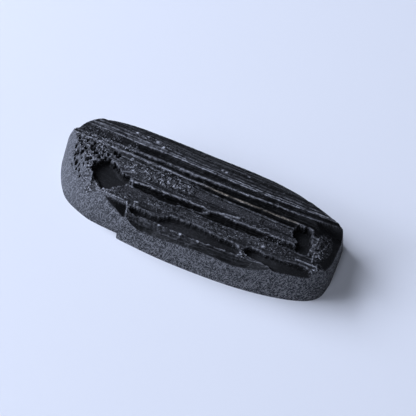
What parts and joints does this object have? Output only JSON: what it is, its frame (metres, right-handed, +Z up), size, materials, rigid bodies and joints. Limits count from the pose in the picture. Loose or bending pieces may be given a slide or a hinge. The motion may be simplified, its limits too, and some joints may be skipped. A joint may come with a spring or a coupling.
{
  "type": "tourmaline crystal",
  "caption": "Black tourmaline piece: a long raw crystal slab with a ridged, channelled and pitted top, ground tapering sides and a flat underside that it lies on.",
  "frame": {"origin": "middle of the stone's extent in plan, on the flat underside", "axes": "+X along the crystal's length, towards the end that the ridges run out to; +Z up out of the ridged top; -Y towards the lower side with the long channels"},
  "size_m": [0.0428, 0.0168, 0.0066],
  "materials": {
    "schorl": "raw glassy black on the top, matte ground on the sides"
  },
  "bodies": {
    "root": {"tourmaline_crystal": "schorl"}
  },
  "joints": []
}
